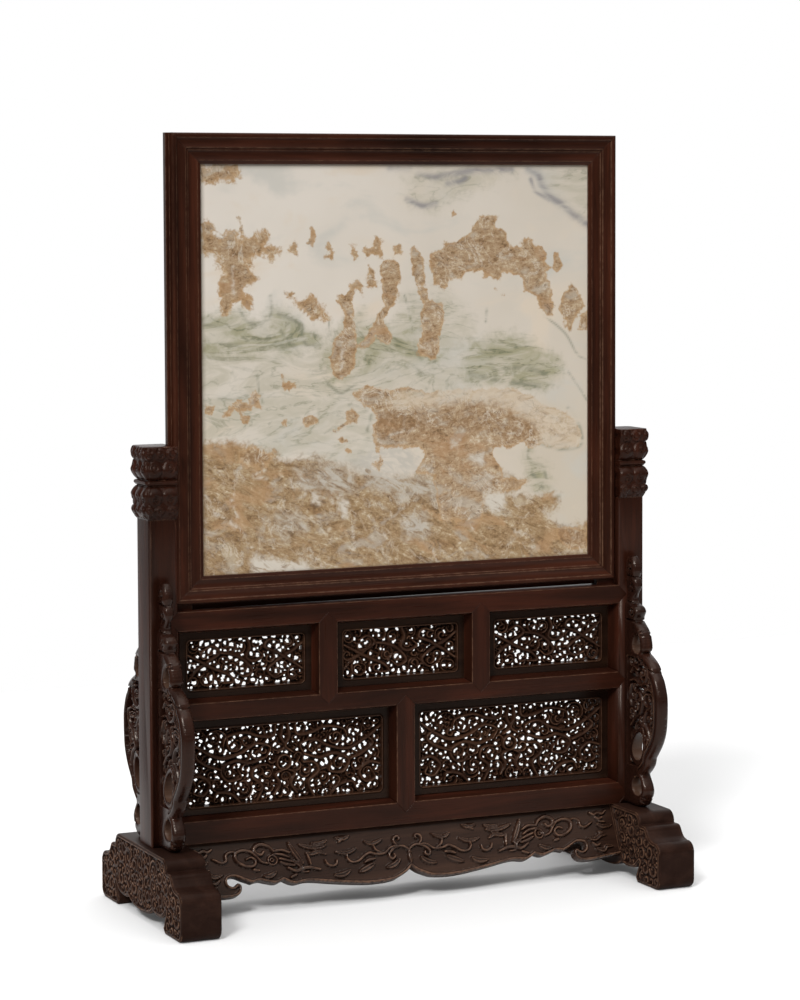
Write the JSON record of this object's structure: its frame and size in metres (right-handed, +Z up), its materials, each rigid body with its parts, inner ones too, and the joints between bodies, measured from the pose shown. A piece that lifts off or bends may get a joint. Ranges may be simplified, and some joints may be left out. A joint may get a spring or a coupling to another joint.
{
  "type": "table screen",
  "caption": "Table screen with a framed figured marble slab that lifts out of a dark hardwood stand with pierced panels, scroll brackets, shaped aprons and sledge feet.",
  "frame": {"origin": "on the ground, under the middle of the object", "axes": "+Z up, +X to the right seen from the front, the front with the stone faces -Y"},
  "size_m": [0.5226, 0.216, 0.7185],
  "materials": {
    "dark_hardwood": "polished dark reddish-brown hardwood with fine grain",
    "carved_hardwood": "carved dark hardwood, polished on the high places and dusty in the hollows",
    "back_board_wood": "plain planed hardwood board",
    "figured_marble": "polished cream marble with brown, green and grey figure like a landscape"
  },
  "bodies": {
    "stand": {"left_post": "dark_hardwood", "right_post": "dark_hardwood", "top_rail": "dark_hardwood", "middle_rail": "dark_hardwood", "bottom_rail": "dark_hardwood", "upper_left_muntin": "dark_hardwood", "upper_right_muntin": "dark_hardwood", "lower_muntin": "dark_hardwood", "upper_left_panel": "carved_hardwood", "upper_middle_panel": "carved_hardwood", "upper_right_panel": "carved_hardwood", "lower_left_panel": "carved_hardwood", "lower_right_panel": "carved_hardwood", "front_left_bracket": "carved_hardwood", "back_left_bracket": "carved_hardwood", "front_right_bracket": "carved_hardwood", "back_right_bracket": "carved_hardwood", "front_apron": "carved_hardwood", "back_apron": "carved_hardwood", "left_foot": "carved_hardwood", "right_foot": "carved_hardwood", "left_rest_block": "dark_hardwood", "right_rest_block": "dark_hardwood"},
    "screen_panel": {"frame_top_rail": "dark_hardwood", "frame_bottom_rail": "dark_hardwood", "frame_left_stile": "dark_hardwood", "frame_right_stile": "dark_hardwood", "stone_slab": "figured_marble", "back_board": "back_board_wood"}
  },
  "joints": [
    {"name": "panel_lift", "type": "slide", "parent": "stand", "child": "screen_panel", "axis": [0, 0, 1], "range_m": [0, 0.15]}
  ]
}
